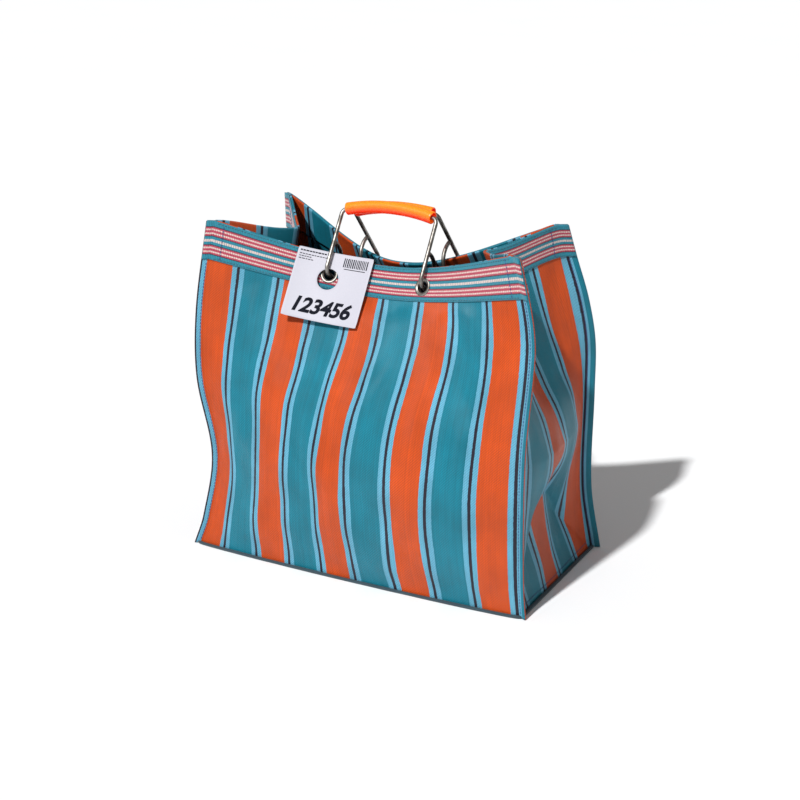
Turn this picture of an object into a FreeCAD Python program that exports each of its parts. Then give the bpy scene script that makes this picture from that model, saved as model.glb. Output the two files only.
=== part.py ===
import FreeCAD, Part
import math
import os
from FreeCAD import Vector

# A soft, flat-bottomed shopping bag of woven plastic cloth, with side gussets, a woven tape round the
# hem, and two bent-wire handles that swing in metal eyelets. Millimetres, +Z up, X across the bag.
# The origin is the middle of the base, on the floor; the front panel faces -Y.

os.makedirs("parts", exist_ok=True)

# ---- driving dimensions -------------------------------------------------------------------------
PANEL_HEIGHT = 340.0      # every panel, along the cloth from the floor to the hem
HALF_WIDTH = 180.0        # centre to a bottom corner, along X
HALF_DEPTH = 91.0         # centre to a bottom corner, along Y, and half the gusset's flat width
CLOTH = 1.2               # cloth thickness
TAPE_HEIGHT = 36.0
TAPE = 0.9                # tape thickness
TAPE_GAP = 0.15           # between the cloth and the tape
SEAM_WIDTHS = {"front_left": 7.0, "front_right": 7.0, "back_left": 7.0, "back_right": 10.0}
SEAM_THICKNESS = 2.0
SEAM_ROOT = 0.3           # the allowance starts this far outside the corner line
PANEL_GAP = 2.4           # the wide panels stop this far from the corner lines
GUSSET_GAP = 4.5          # and the gussets this far, because they fold in close behind the panels
WELT_HEIGHT = 2.4         # folded seam round the base
WELT_WIDTH = 3.0
BASE_GAP = 1.1            # between the bottom panel's edge and the side panels
WELT_GAP = 1.2            # leaves room for the panels, which lean out above their foot

EYELET_DROP = 20.0        # hem top to eyelet centre
EYELET_RADIUS = 8.8
EYELET_BORE = 5.8
EYELET_BARREL = 6.6
EYELET_FLANGE = 1.0
EYELET_GAP = 0.55         # the curved hem keeps this clear of the flat flange and washer
CLOTH_HOLE = 7.0

LEG_SPACING = 102.0
HANDLE_SHIFT = {"front": 3.0, "back": 3.0}    # middle of each handle from the bag's middle, along X
LEG_LENGTH = 71.0         # eyelet centre to grip axis
WIRE = 4.0                # wire diameter
LEG_OFFSET = 9.5          # leg axis stands this far outside the hem's middle surface
LOOP_DEPTH = 16.0         # how far the wire's end loop reaches inside the hem
LOOP_RISE = 10.0          # the loop's inner side is straight up to this height over the eyelet
LOOP_CLOSE = 31.0         # height over the eyelet at which the loop's tip meets the leg
LEG_BEND = 7.0
SHOULDER_BEND = 6.0
CROWN_ANGLE = 14.0        # half of the grip's shallow arc, degrees
FRONT_LEAN = 32.0         # handle's lean from upright at rest, degrees
REAR_LEAN = 32.5
GRIP_RADIUS = 6.2
GRIP_BORE = 2.4

TAG_WIDTH = 77.0
TAG_HEIGHT = 70.0
TAG = 0.6                 # card thickness
TAG_HOLE = 10.5           # radius
TAG_DROP = 6.0            # hole centre below the eyelet's centre: the card hangs on the wire
TAG_SHIFT = 1.0           # hole centre to the right of the eyelet's centre
TAG_TOP = 27.0            # hole centre to the card's top edge
TAG_LEFT = 36.0           # hole centre to the card's left edge
TAG_BOW = 220.0           # the card is bent to this radius by the hem behind it
TAG_COLUMNS = 8
TAG_STANDOFF = 5.5        # card's middle over the hem's middle surface
TAG_YAW = 12.5            # degrees: the card's left edge stands out further than its right

# ---- shape of the standing bag --------------------------------------------------------------------
# A vertical corner line: (fraction of the panel height, x, y, z).
CORNERS = {
    "front_left": [(0, -180, -91, 0), (0.1, -170, -87, 32), (0.3, -161, -81, 98), (0.55, -168, -92, 182),
                   (0.75, -167, -90, 250), (1, -159, -78, 337)],
    "front_right": [(0, 182, -92, 0), (0.1, 180, -94, 33), (0.3, 180, -98, 100), (0.5, 181, -99, 168),
                    (0.75, 183, -89, 253), (0.85, 177, -83, 286), (1, 161, -77, 337)],
    "back_left": [(0, -178, 91, 0), (0.3, -174, 95, 100), (0.55, -172, 90, 184), (0.75, -170, 78, 252),
                  (1, -160, 58, 341)],
    "back_right": [(0, 175.5, 92, 0), (0.2, 162, 95, 66), (0.5, 163.5, 90, 168), (0.65, 165.5, 82, 222),
                   (0.77, 161, 72, 266), (0.894, 150, 65, 308), (1, 145.5, 53, 340)],
}
# The middle line of a wide panel: (fraction of the panel height, y, z).
FRONT_MIDDLE = [(0, -98, 0), (0.2, -115, 66), (0.35, -120, 116), (0.5, -109, 168), (0.65, -88, 213),
                (0.8, -64, 252), (0.9, -47, 275), (1, -32, 301)]
BACK_MIDDLE = [(0, 96, 0), (0.2, 114, 64), (0.4, 120, 132), (0.6, 101, 196), (0.8, 60, 246),
               (0.9, 38, 270), (1, 18, 293)]
CORNER_REACH = 5          # a corner's bend in x dies out across the wide panels with this power
FRONT_DRAG = 8.0          # the front panel's cloth is pulled this far towards +X below the hem
REAR_SKEW = 12.0          # the rear hem runs this far back on the left and forward on the right
REAR_TWIST = 2.5          # and sags this much more on the left than on the right
APEX = 0.3                # height of the crease's peak, as a fraction of the panel height
CREASE_DEPTH = 13.0       # how far the crease stands in from the gusset's corners
BULGE = (0.43, -9.0)      # above the crease the gusset swells out most at this height, by this much
# How far the gusset's upright fold goes in: (fraction of the panel height, depth).
FOLD_DEPTHS = [(0.43, 0), (0.52, 9), (0.6, 24), (0.7, 38), (0.85, 47), (1, 52)]
FOLD_FULLNESS = 0.4       # how round, rather than straight-sided, the fold is half-way up it
GUSSET_SAG = 16.0         # the fold's top lies this far below the hem's corners

WIDE_COLUMNS = 24
GUSSET_COLUMNS = 12
LOW_ROWS = 12
TAPE_ROWS = 3


def blend(points, t):
    """Smooth curve through points, each (parameter, value, value, ...), at parameter t."""
    last = len(points) - 1
    k = 0
    while k < last - 1 and t > points[k + 1][0]:
        k += 1
    lower, upper = points[k], points[k + 1]
    step = upper[0] - lower[0]
    s = (t - lower[0]) / step

    def slope(i, column):
        before, after = points[max(i - 1, 0)], points[min(i + 1, last)]
        return (after[column] - before[column]) / (after[0] - before[0])

    values = []
    for column in range(1, len(lower)):
        rise_in = slope(k, column) * step
        rise_out = slope(k + 1, column) * step
        values.append((2 * s**3 - 3 * s**2 + 1) * lower[column] + (s**3 - 2 * s**2 + s) * rise_in
                      + (3 * s**2 - 2 * s**3) * upper[column] + (s**3 - s**2) * rise_out)
    return values


def corner(name, v):
    return Vector(*blend(CORNERS[name], v))


def wide_point(left, right, middle, u, v):
    """A point of the front or back panel: u runs from left to right, v from floor to hem."""
    low, high = corner(left, v), corner(right, v)
    straight_low = corner(left, 0) * (1 - v) + corner(left, 1) * v
    straight_high = corner(right, 0) * (1 - v) + corner(right, 1) * v
    point = low + (high - low) * u
    point.x = (straight_low.x * (1 - u) + straight_high.x * u
               + (low.x - straight_low.x) * (1 - u) ** CORNER_REACH
               + (high.x - straight_high.x) * u**CORNER_REACH)
    y, z = blend(middle, v)
    across = max(math.sin(math.pi * u), 0.0) ** (0.5 + 0.6 * v)
    point.y += (y - (low.y + high.y) / 2) * across
    point.z += (z - (low.z + high.z) / 2) * across
    return point


def front_point(u, v):
    point = wide_point("front_left", "front_right", FRONT_MIDDLE, u, v)
    point.x += FRONT_DRAG * math.sin(math.pi * u) * math.exp(-((v - 0.72) / 0.2) ** 2)
    return point


def back_point(u, v):
    point = wide_point("back_left", "back_right", BACK_MIDDLE, u, v)
    twist = math.sin(2 * math.pi * u) * v**2
    point.y += REAR_SKEW * twist
    point.z -= REAR_TWIST * twist
    return point


def gusset_depth(t, v):
    """How far a gusset stands in from the line between its corners: a peaked crease low down, a slight
    swelling over it, and an upright fold that deepens towards the hem."""
    ridge = max(1.03 - math.sqrt((2 * t - 1) ** 2 + 0.0009) - 0.03 * abs(2 * t - 1), 0.0)
    crease_height = APEX * ridge
    crease = CREASE_DEPTH * min(1.0, 2.2 * ridge)
    if v < crease_height:
        return crease * v / crease_height
    bulge_height, bulge = BULGE
    bulge *= math.sin(math.pi * t)
    if v < bulge_height:
        left = (bulge_height - v) / (bulge_height - crease_height)
        return bulge + (crease - bulge) * left**2
    fold = blend(FOLD_DEPTHS, v)[0]
    roundness = FOLD_FULLNESS * math.sin(math.pi * (v - bulge_height) / (1 - bulge_height))
    return fold * ridge ** (1 - roundness) + bulge * max(1 - fold / FOLD_DEPTHS[-1][1], 0.0)


def gusset_point(side, front, back, t, v):
    """A point of a gusset: t runs from the front corner to the back one; side is -1 left, +1 right."""
    near, far = corner(front, v), corner(back, v)
    point = near + (far - near) * t
    point.x -= side * gusset_depth(t, v)
    point.z -= GUSSET_SAG * math.sin(math.pi * t) ** 1.5 * v**3
    return point


def right_point(t, v):
    return gusset_point(1, "front_right", "back_right", t, v)


def left_point(t, v):
    return gusset_point(-1, "front_left", "back_left", t, v)


def outward(surface, sign, u, v):
    """Unit normal of a panel, pointing out of the bag."""
    step = 0.004
    along = surface(min(u + step, 1), v) - surface(max(u - step, 0), v)
    upward = surface(u, min(v + step, 1)) - surface(u, max(v - step, 0))
    normal = along.cross(upward) * sign
    return normal.normalize()


# Each panel: its surface, the sign that makes its normal point out, and its flat width.
PANELS = {
    "front": (front_point, 1, 2 * HALF_WIDTH, WIDE_COLUMNS),
    "back": (back_point, -1, 2 * HALF_WIDTH, WIDE_COLUMNS),
    "left": (left_point, -1, 2 * HALF_DEPTH, GUSSET_COLUMNS),
    "right": (right_point, 1, 2 * HALF_DEPTH, GUSSET_COLUMNS),
}


def columns(side):
    """Places of the vertical grid lines, which stop short of the corner lines."""
    gap = GUSSET_GAP if side in ("left", "right") else PANEL_GAP
    inset = gap / PANELS[side][2]
    count = PANELS[side][3]
    return [inset + (1 - 2 * inset) * i / count for i in range(count + 1)]


def rows(low, high, count):
    return [low + (high - low) * i / count for i in range(count + 1)]


def flat_face(*corners):
    return Part.Face(Part.makePolygon(list(corners) + [corners[0]]))


def skin(side, heights, inner, outer):
    """A closed sheet between two offsets from a panel's middle surface, made of flat triangles."""
    surface, sign, _, _ = PANELS[side]
    places = columns(side)
    grids = []
    for offset in (inner, outer):
        grids.append([[surface(u, v) + outward(surface, sign, u, v) * offset for u in places]
                      for v in heights])
    faces = []

    def quad(a, b, c, d):
        faces.append(flat_face(a, b, c))
        faces.append(flat_face(a, c, d))

    for grid in grids:
        for j in range(len(heights) - 1):
            for i in range(len(places) - 1):
                quad(grid[j][i], grid[j][i + 1], grid[j + 1][i + 1], grid[j + 1][i])
    low, high = grids
    for j in range(len(heights) - 1):
        for i in (0, -1):
            quad(low[j][i], low[j + 1][i], high[j + 1][i], high[j][i])
    for i in range(len(places) - 1):
        for j in (0, -1):
            quad(low[j][i], low[j][i + 1], high[j][i + 1], high[j][i])
    return closed(faces)


def closed(faces):
    shell = Part.makeShell(faces)
    shell.sewShape()
    solid = Part.makeSolid(shell)
    if solid.Volume < 0:
        solid.reverse()
    return solid


def tube(sections):
    """A closed solid through a row of four-cornered sections, made of flat triangles."""
    faces = []
    for before, after in zip(sections, sections[1:]):
        for k in range(4):
            n = (k + 1) % 4
            faces.append(flat_face(before[k], before[n], after[n]))
            faces.append(flat_face(before[k], after[n], after[k]))
    for end in (sections[0], sections[-1]):
        faces.append(flat_face(end[0], end[1], end[2]))
        faces.append(flat_face(end[0], end[2], end[3]))
    return closed(faces)


# ---- eyelets and handles ----------------------------------------------------------------------------
class HandleFrame:
    """Axes of one handle: x along the line through its two eyelets, out away from the hem, up the legs."""

    def __init__(self, side, lean):
        surface, sign, width, _ = PANELS[side]
        self.side = side
        self.height = 1 - EYELET_DROP / PANEL_HEIGHT
        middle = HANDLE_SHIFT[side]
        self.places = [self.place(surface, middle + half) for half in (-LEG_SPACING / 2, LEG_SPACING / 2)]
        left, right = [surface(u, self.height) for u in self.places]
        self.centre = (left + right) * 0.5
        self.x = (right - left).normalize()
        facing = -1 if side == "front" else 1
        level_out = Vector(self.x.y, -self.x.x, 0) * -facing
        level_out.normalize()
        tilt = math.radians(lean)
        self.up = Vector(0, 0, math.cos(tilt)) - level_out * math.sin(tilt)
        self.up = (self.up - self.x * self.up.dot(self.x)).normalize()
        self.out = self.x.cross(self.up) * -facing
        self.out.normalize()

    def place(self, surface, x):
        """Panel place u whose point at eyelet height lies at x."""
        low, high = 0.0, 1.0
        for _ in range(40):
            middle = (low + high) / 2
            if surface(middle, self.height).x < x:
                low = middle
            else:
                high = middle
        return (low + high) / 2

    def point(self, x, out, up):
        return self.centre + self.x * x + self.out * out + self.up * up

    def eyelet_axis(self, k):
        """Centre and outward normal of eyelet k of this handle."""
        surface, sign, _, _ = PANELS[self.side]
        return surface(self.places[k], self.height), outward(surface, sign, self.places[k], self.height)


def ring(centre, axis, low, high, outer_radius, inner_radius):
    """A washer along axis from low to high over the centre."""
    body = Part.makeCylinder(outer_radius, high - low, centre + axis * low, axis)
    return body.cut(Part.makeCylinder(inner_radius, high - low + 2, centre + axis * (low - 1), axis))


OUTER_SKIN = CLOTH / 2 + TAPE_GAP + TAPE


def eyelet(frame, k):
    centre, axis = frame.eyelet_axis(k)
    low = OUTER_SKIN + EYELET_GAP
    flange = ring(centre, axis, low, low + EYELET_FLANGE, EYELET_RADIUS, EYELET_BORE)
    barrel = ring(centre, axis, -CLOTH / 2 - EYELET_GAP, low + EYELET_FLANGE / 2, EYELET_BARREL, EYELET_BORE)
    return flange.fuse(barrel).removeSplitter()


def washer(frame, k):
    centre, axis = frame.eyelet_axis(k)
    top = -CLOTH / 2 - EYELET_GAP
    return ring(centre, axis, top - EYELET_FLANGE, top, EYELET_RADIUS, EYELET_BORE)


def arc(frame, start, middle, end):
    return Part.Arc(frame.point(*start), frame.point(*middle), frame.point(*end)).toShape()


def line(frame, start, end):
    return Part.LineSegment(frame.point(*start), frame.point(*end)).toShape()


def leg_path(frame, side):
    """One leg's centre line: the loop's tip, the loop inside the hem, the eyelet, and the leg outside it."""
    x = side * LEG_SPACING / 2
    half = math.sqrt(0.5)
    b = LEG_BEND
    inner = -LOOP_DEPTH
    tip_out = LEG_OFFSET - WIRE / 2 - 0.3
    reach = tip_out - inner
    radius = (reach**2 + (LOOP_CLOSE - LOOP_RISE) ** 2) / (2 * reach)
    crown = (x, inner + radius * (1 - half), LOOP_RISE + radius * half)
    return [
        arc(frame, (x, tip_out, LOOP_CLOSE), crown, (x, inner, LOOP_RISE)),
        line(frame, (x, inner, LOOP_RISE), (x, inner, b)),
        arc(frame, (x, inner, b), (x, inner + b * (1 - half), b * (1 - half)), (x, inner + b, 0)),
        line(frame, (x, inner + b, 0), (x, LEG_OFFSET - b, 0)),
        arc(frame, (x, LEG_OFFSET - b, 0), (x, LEG_OFFSET - b * (1 - half), b * (1 - half)),
            (x, LEG_OFFSET, b)),
    ]


def crown_geometry():
    """Shoulder height, crown radius and the x where the shoulder bend runs into the crown."""
    angle = math.radians(CROWN_ANGLE)
    end_x = LEG_SPACING / 2 - SHOULDER_BEND * (1 - math.sin(angle))
    radius = end_x / math.sin(angle)
    rise = SHOULDER_BEND * math.cos(angle) + radius * (1 - math.cos(angle))
    return LEG_LENGTH - rise, radius, end_x


def shoulder(frame, side):
    base, _, end_x = crown_geometry()
    x = side * LEG_SPACING / 2
    centre_x = x - side * SHOULDER_BEND
    points = []
    for share in (0, 0.5, 1):
        turn = math.radians(90 - CROWN_ANGLE) * share
        points.append((centre_x + side * SHOULDER_BEND * math.cos(turn), LEG_OFFSET,
                       base + SHOULDER_BEND * math.sin(turn)))
    return arc(frame, *points)


def wire(frame):
    """The whole bent wire of a handle, swept along lines and tangent arcs."""
    base, radius, end_x = crown_geometry()
    edges = []
    for side in (-1, 1):
        x = side * LEG_SPACING / 2
        edges += leg_path(frame, side)
        edges.append(line(frame, (x, LEG_OFFSET, LEG_BEND), (x, LEG_OFFSET, base)))
        edges.append(shoulder(frame, side))
    low = LEG_LENGTH - radius * (1 - math.cos(math.radians(CROWN_ANGLE)))
    edges.append(arc(frame, (-end_x, LEG_OFFSET, low), (0, LEG_OFFSET, LEG_LENGTH),
                     (end_x, LEG_OFFSET, low)))
    path = Part.Wire(Part.__sortEdges__(edges))
    start = path.OrderedEdges[0]
    direction = start.tangentAt(start.FirstParameter)
    origin = start.valueAt(start.FirstParameter)
    if (origin - path.OrderedVertexes[0].Point).Length > 0.01:
        origin = path.OrderedVertexes[0].Point
        direction = start.tangentAt(start.LastParameter) * -1
    section = Part.Wire(Part.makeCircle(WIRE / 2, origin, direction))
    body = path.makePipeShell([section], True, False, 2)
    expected = math.pi * WIRE**2 / 4 * path.Length
    print("wire volume / expected:", round(abs(body.Volume) / expected, 4), "length", round(path.Length, 1))
    return body


def grip(frame):
    """The plastic tube on a handle, a shallow arc round the wire."""
    _, radius, end_x = crown_geometry()
    centre = frame.point(0, LEG_OFFSET, LEG_LENGTH - radius)
    half_angle = math.degrees(math.asin(end_x / radius))
    start = frame.x * math.sin(math.radians(-half_angle)) + frame.up * math.cos(math.radians(half_angle))
    middle = centre + start * radius
    along = frame.out.cross(start)
    faces = [Part.Face(Part.Wire(Part.makeCircle(r, middle, along))) for r in (GRIP_RADIUS, GRIP_BORE)]
    sweep = 2 * half_angle
    solids = [face.revolve(centre, frame.out, sweep) for face in faces]
    probe = solids[0].CenterOfMass - centre
    if probe.dot(frame.up) < radius * 0.9:
        solids = [face.revolve(centre, frame.out * -1, sweep) for face in faces]
    return solids[0].cut(solids[1])


# ---- the bag ------------------------------------------------------------------------------------------
FRAMES = {"front": HandleFrame("front", FRONT_LEAN), "rear": HandleFrame("back", REAR_LEAN)}


def hole_tools(side):
    tools = []
    for frame in FRAMES.values():
        if frame.side != side:
            continue
        for k in (0, 1):
            centre, axis = frame.eyelet_axis(k)
            tools.append(Part.makeCylinder(CLOTH_HOLE, 12, centre - axis * 6, axis))
    return tools


def pierced(side, solid):
    for tool in hole_tools(side):
        solid = solid.cut(tool)
    return solid


def panel(side):
    hem = 1 - TAPE_HEIGHT / PANEL_HEIGHT
    heights = rows(0, hem, LOW_ROWS) + rows(hem, 1, TAPE_ROWS)[1:]
    return pierced(side, skin(side, heights, -CLOTH / 2, CLOTH / 2))


def tape(side):
    low = CLOTH / 2 + TAPE_GAP
    heights = rows(1 - TAPE_HEIGHT / PANEL_HEIGHT, 1, TAPE_ROWS)
    return pierced(side, skin(side, heights, low, low + TAPE))


def base_outline(inset):
    """Points round the foot of the panels, moved in by inset."""
    points = []
    for side, reverse in (("front", False), ("right", False), ("back", True), ("left", True)):
        surface, sign, _, _ = PANELS[side]
        places = columns(side)
        if reverse:
            places = places[::-1]
        for u in places:
            point = surface(u, 0) - outward(surface, sign, u, 0) * inset
            points.append(Vector(point.x, point.y, 0))
    return points


def bottom_panel():
    outline = base_outline(CLOTH / 2 + BASE_GAP)
    face = Part.Face(Part.makePolygon(outline + [outline[0]]))
    return face.extrude(Vector(0, 0, CLOTH))


def base_welt(side):
    """The folded seam that runs along the foot of one panel."""
    surface, sign, _, _ = PANELS[side]
    sections = []
    for u in columns(side):
        point, normal = surface(u, 0), outward(surface, sign, u, 0)
        normal = Vector(normal.x, normal.y, 0).normalize()
        near = CLOTH / 2 + WELT_GAP
        far = near + WELT_WIDTH
        foot = Vector(point.x, point.y, 0)
        rise = Vector(0, 0, WELT_HEIGHT)
        sections.append([foot + normal * near, foot + normal * far, foot + normal * far + rise,
                         foot + normal * near + rise])
    return tube(sections)


SEAM_DIRECTIONS = {"front_left": -155, "front_right": -25, "back_left": 150, "back_right": 30}


def corner_seam(name):
    """The raised seam allowance that stands out along a vertical corner."""
    angle = math.radians(SEAM_DIRECTIONS[name])
    out = Vector(math.cos(angle), math.sin(angle), 0)
    across = Vector(-out.y, out.x, 0) * (SEAM_THICKNESS / 2)
    sections = []
    hem = 1 - TAPE_HEIGHT / PANEL_HEIGHT
    for v in rows(0, hem, LOW_ROWS) + rows(hem, 1, TAPE_ROWS)[1:]:
        root = corner(name, v) + out * SEAM_ROOT
        tip = root + out * SEAM_WIDTHS[name]
        sections.append([root - across, tip - across, tip + across, root + across])
    return tube(sections)


def hang_tag():
    """A slightly bowed card with a punched hole, hung round the front left leg where it enters the eyelet."""
    frame = FRAMES["front"]
    yaw = math.radians(TAG_YAW)
    across = frame.x * math.cos(yaw) - frame.out * math.sin(yaw)
    normal = frame.out * math.cos(yaw) + frame.x * math.sin(yaw)
    origin = frame.point(-LEG_SPACING / 2 + TAG_SHIFT, 0, -TAG_DROP) + normal * TAG_STANDOFF
    sections = []
    for a in rows(-TAG_LEFT, TAG_WIDTH - TAG_LEFT, TAG_COLUMNS):
        bow = a**2 / (2 * TAG_BOW)
        corners = [(TAG_TOP - TAG_HEIGHT, -TAG / 2), (TAG_TOP - TAG_HEIGHT, TAG / 2),
                   (TAG_TOP, TAG / 2), (TAG_TOP, -TAG / 2)]
        sections.append([origin + across * a + frame.up * b + normal * (bow + c) for b, c in corners])
    return tube(sections).cut(Part.makeCylinder(TAG_HOLE, 8, origin - normal * 4, normal))


def main():
    nodes = {}
    for side in PANELS:
        word = "gusset" if side in ("left", "right") else "panel"
        nodes[side + "_" + word] = panel(side)
        nodes[side + "_tape"] = tape(side)
        nodes[side + "_base_welt"] = base_welt(side)
    nodes["bottom_panel"] = bottom_panel()
    for name in CORNERS:
        nodes[name + "_seam"] = corner_seam(name)
    for handle, frame in FRAMES.items():
        nodes[handle + "_wire"] = wire(frame)
        nodes[handle + "_grip"] = grip(frame)
        for k, hand in enumerate(("left", "right")):
            nodes[handle + "_" + hand + "_eyelet"] = eyelet(frame, k)
            nodes[handle + "_" + hand + "_washer"] = washer(frame, k)
        print(handle, "pivot", frame.centre, "axis", frame.x, "up", frame.up)
    nodes["hang_tag"] = hang_tag()
    for name, shape in nodes.items():
        shape.exportStep("parts/" + name + ".step")
        print(name, shape.isValid(), round(shape.Volume, 1), len(shape.Solids))


main()
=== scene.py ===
from functools import cache, partialmethod
from math import asin, atan2, copysign, cos, exp, hypot, inf, pi, radians, sin, sqrt

import bpy
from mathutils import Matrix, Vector
from mathutils.noise import noise


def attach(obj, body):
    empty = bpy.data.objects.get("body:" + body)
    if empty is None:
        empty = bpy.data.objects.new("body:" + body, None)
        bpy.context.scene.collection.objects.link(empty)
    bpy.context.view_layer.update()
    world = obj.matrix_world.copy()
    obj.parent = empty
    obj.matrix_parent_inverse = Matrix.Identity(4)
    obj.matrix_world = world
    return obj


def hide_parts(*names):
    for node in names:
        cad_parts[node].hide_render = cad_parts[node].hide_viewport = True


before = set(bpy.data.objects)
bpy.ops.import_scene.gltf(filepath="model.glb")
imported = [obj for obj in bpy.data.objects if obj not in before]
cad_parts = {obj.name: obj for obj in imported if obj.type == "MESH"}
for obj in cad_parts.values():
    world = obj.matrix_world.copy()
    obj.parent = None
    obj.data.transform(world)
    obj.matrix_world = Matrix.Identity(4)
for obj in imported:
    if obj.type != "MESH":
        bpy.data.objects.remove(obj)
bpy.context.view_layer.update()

# A striped bag of woven plastic cloth with a woven tape round its hem and two bent-wire handles. The
# bag is worked out in millimetres and every mesh is written in metres. The corner lines, middle lines
# and handle sizes repeat the CAD model's.
MM = 0.001

PANEL_HEIGHT = 340.0
HALF_WIDTH = 180.0
HALF_DEPTH = 91.0
CLOTH = 0.7  # cloth thickness
TAPE_HEIGHT = 36.0
TAPE = 0.9  # tape thickness
TAPE_MIDDLE = 1.15  # middle of the tape over the middle of the cloth
TAPE_FOOT = 1 - TAPE_HEIGHT / PANEL_HEIGHT  # its lower edge, as a fraction of the panel height
TAPE_FACE = TAPE_MIDDLE + TAPE / 2  # its outer face over the middle of the cloth
HEM_TURN = 33.0  # cloth turned in at the top
HEM_RADIUS = 0.8  # of the fold at the top of the hem
SEAM_REACH = {"front_left": 7.6, "front_right": 7.6, "back_left": 7.6, "back_right": 10.4}
SEAM_SPREAD = 0.45  # each of its two layers lies this far from their middle

CORNERS = {
    "front_left": [(0, -180, -91, 0), (0.1, -170, -87, 32), (0.3, -161, -81, 98), (0.55, -168, -92, 182),
                   (0.75, -167, -90, 250), (1, -159, -78, 337)],
    "front_right": [(0, 182, -92, 0), (0.1, 180, -94, 33), (0.3, 180, -98, 100), (0.5, 181, -99, 168),
                    (0.75, 183, -89, 253), (0.85, 177, -83, 286), (1, 161, -77, 337)],
    "back_left": [(0, -178, 91, 0), (0.3, -174, 95, 100), (0.55, -172, 90, 184), (0.75, -170, 78, 252),
                  (1, -160, 58, 341)],
    "back_right": [(0, 175.5, 92, 0), (0.2, 162, 95, 66), (0.5, 163.5, 90, 168), (0.65, 165.5, 82, 222),
                   (0.77, 161, 72, 266), (0.894, 150, 65, 308), (1, 145.5, 53, 340)],
}
SEAM_DIRECTIONS = {"front_left": -155, "front_right": -25, "back_left": 150, "back_right": 30}
MIDDLES = {
    "front": [(0, -98, 0), (0.2, -115, 66), (0.35, -120, 116), (0.5, -109, 168), (0.65, -88, 213),
              (0.8, -64, 252), (0.9, -47, 275), (1, -32, 301)],
    "back": [(0, 96, 0), (0.2, 114, 64), (0.4, 120, 132), (0.6, 101, 196), (0.8, 60, 246),
             (0.9, 38, 270), (1, 18, 293)],
}
CORNER_REACH = 5  # a corner line's waves die away across the panel with this power
BELLY_POWERS = (0.5, 0.6)  # how round a wide panel is across: at the floor, and what the hem adds
FRONT_DRAG = 8.0  # the front cloth is drawn sideways by up to this much
DRAG_HEIGHT = 0.72  # and most at this fraction of the panel height
DRAG_REACH = 0.2
REAR_SKEW = 12.0
REAR_TWIST = 2.5
APEX = 0.3  # height of the crease's peak, as a fraction of the panel height
PEAK_ROUND = 0.03  # how much that peak is rounded, as a fraction of half the gusset's depth
CREASE_DEPTH = 13.0  # how far the crease stands in from the gusset's corners
CREASE_RISE = 2.2  # how fast it gets that deep
BULGE = (0.43, -9.0)  # above the crease the gusset swells out most at this height, by this much
# How far the gusset's upright fold goes in: (fraction of the panel height, depth).
FOLD_DEPTHS = [(0.43, 0), (0.52, 9), (0.6, 24), (0.7, 38), (0.85, 47), (1, 52)]
FOLD_FULLNESS = 0.4  # how round, rather than straight-sided, the fold is half-way up it
GUSSET_SAG = 16.0

EYELET_DROP = 20.0
EYELET_HOLE = 6.6  # hole in the cloth
EYELET_BORE = 5.6
EYELET_RADIUS = 8.8
LEG_SPACING = 102.0
HANDLE_SHIFT = 3.0  # of both handles along their hems
LEG_LENGTH = 71.0
WIRE = 4.0
LEG_OFFSET = 9.5
LOOP_DEPTH = 16.0  # how far the end loops reach inside the hem
LOOP_RISE = 10.0
LOOP_CLOSE = 31.0  # height at which their tips come back to the legs
LEG_BEND = 7.0
SHOULDER_BEND = 6.0
CROWN_ANGLE = 14.0
LEANS = {"front": 32.0, "back": 32.5}  # of the legs, in degrees from upright
GRIP_RADIUS = 6.1
GRIP_BORE = 4.5

TAG_WIDTH = 77.0
TAG_HEIGHT = 70.0
TAG = 0.5
TAG_HOLE = 10.5
TAG_DROP = 6.0
TAG_SHIFT = 1.0
TAG_TOP = 27.0
TAG_LEFT = 36.0  # from the hole to the left edge
TAG_BOW = 220.0
TAG_STANDOFF = 5.5
TAG_YAW = 12.5


# ---- meshes ----
def new_object(name, points, faces, material, flat=None):
    """A smooth-shaded mesh object from points in millimetres; flat gives each point's place on the cloth."""
    mesh = bpy.data.meshes.new(name)
    mesh.from_pydata([tuple(p * MM) for p in points], [], faces)
    mesh.update()
    mesh.shade_smooth()
    if flat:
        layer = mesh.uv_layers.new(name="flat")
        for loop in mesh.loops:
            x, y = flat[loop.vertex_index]
            layer.data[loop.index].uv = (x * MM, y * MM)
    mesh.materials.append(material)
    made = bpy.data.objects.new(name, mesh)
    bpy.context.collection.objects.link(made)
    return made


def woven(name, rows, flat, material, holes=(), thickness=CLOTH):
    """A sheet through rows of points; holes are (x, y, radius) on the flat cloth."""
    across = len(rows[0])
    points = [p for row in rows for p in row]
    places = [q for row in flat for q in row]
    gone = {k for k, place in enumerate(places) for x, y, radius in holes
            if hypot(place[0] - x, place[1] - y) < radius}
    faces = []
    for j in range(len(rows) - 1):
        for i in range(across - 1):
            a = j * across + i
            face = (a, a + 1, a + across + 1, a + across)
            if not gone.intersection(face):
                faces.append(face)
    kept = sorted({k for face in faces for k in face})
    number = {old: new for new, old in enumerate(kept)}
    faces = [[number[k] for k in face] for face in faces]
    made = new_object(name, [points[k] for k in kept], faces, material, [places[k] for k in kept])
    thick = made.modifiers.new("thickness", "SOLIDIFY")
    thick.thickness = thickness * MM
    thick.offset = 0
    thick.use_even_offset = True
    return made


def band_faces(start, rings, count):
    """Faces between neighbouring rings of count points."""
    faces = []
    for j in range(rings - 1):
        for i in range(count):
            a, b = start + j * count + i, start + j * count + (i + 1) % count
            faces.append((a, b, b + count, a + count))
    return faces


def lofted(name, bundles, material):
    """Closed bodies, each through a row of rings of points."""
    points, faces = [], []
    for rings in bundles:
        count, start = len(rings[0]), len(points)
        for ring in rings:
            points += ring
        faces += band_faces(start, len(rings), count)
        faces.append(tuple(range(start + count - 1, start - 1, -1)))
        end = start + (len(rings) - 1) * count
        faces.append(tuple(range(end, end + count)))
    return new_object(name, points, faces, material)


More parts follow.
